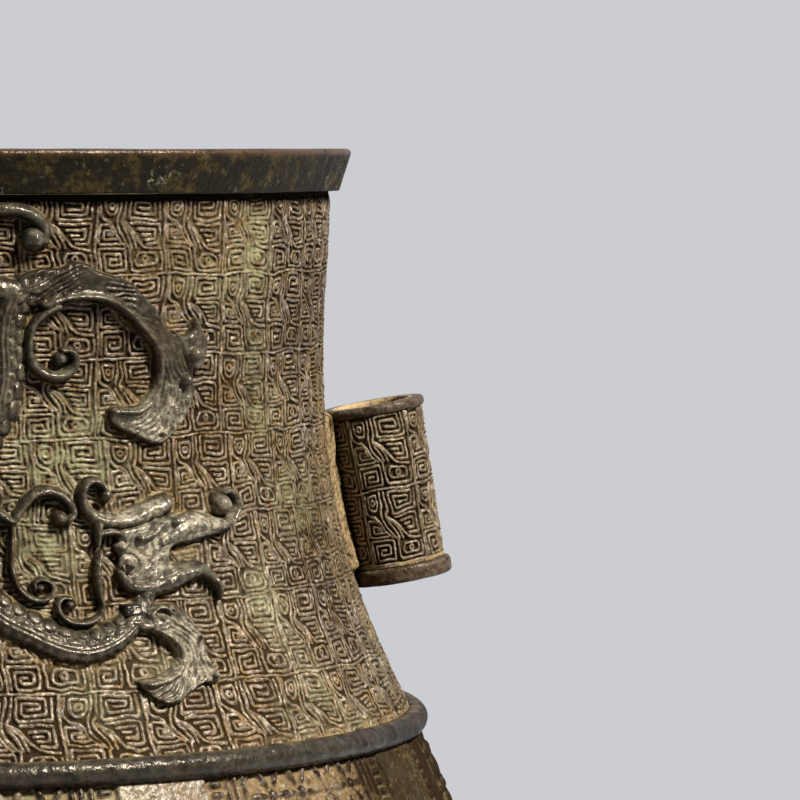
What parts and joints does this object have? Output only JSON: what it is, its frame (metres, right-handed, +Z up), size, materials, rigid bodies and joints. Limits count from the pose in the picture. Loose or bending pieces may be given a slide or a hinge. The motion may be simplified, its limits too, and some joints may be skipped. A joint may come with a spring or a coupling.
{
  "type": "bronze zun vase",
  "caption": "Archaistic bronze zun with a waisted neck, tube handles, raised dragons over a thunder-fret ground, a paneled round belly and a flared foot; a display vessel.",
  "frame": {"origin": "centre of the foot's resting face, on the surface that the vessel stands on", "axes": "+Z up along the vessel's axis, +X towards the right handle, -Y towards the front pair of dragons"},
  "size_m": [0.2146, 0.2148, 0.275],
  "materials": {
    "plain_bronze": "dark olive-brown patina, copper-red where the lip is worn",
    "ground_bronze": "tan and ochre line tops over dark brown grooves, verdigris in patches",
    "relief_bronze": "handled gunmetal-black bronze with a green tinge and ochre dirt along its edges",
    "solder": "ochre earth-filled solder along the handle seam"
  },
  "bodies": {
    "root": {"foot_ring": "plain_bronze", "base_plate": "plain_bronze", "belly_shell": "ground_bronze", "neck_shell": "ground_bronze", "rim_collar": "plain_bronze", "neck_ring": "relief_bronze", "handle_tube_right": "ground_bronze", "handle_tube_left": "ground_bronze", "handle_bottom_collar_right": "plain_bronze", "handle_bottom_collar_left": "plain_bronze", "handle_top_collar_right": "plain_bronze", "handle_top_collar_left": "plain_bronze", "handle_saddle_right": "solder", "handle_saddle_left": "solder", "dragon_front_right": "relief_bronze", "dragon_front_left": "relief_bronze", "dragon_back_right": "relief_bronze", "dragon_back_left": "relief_bronze"}
  },
  "joints": []
}
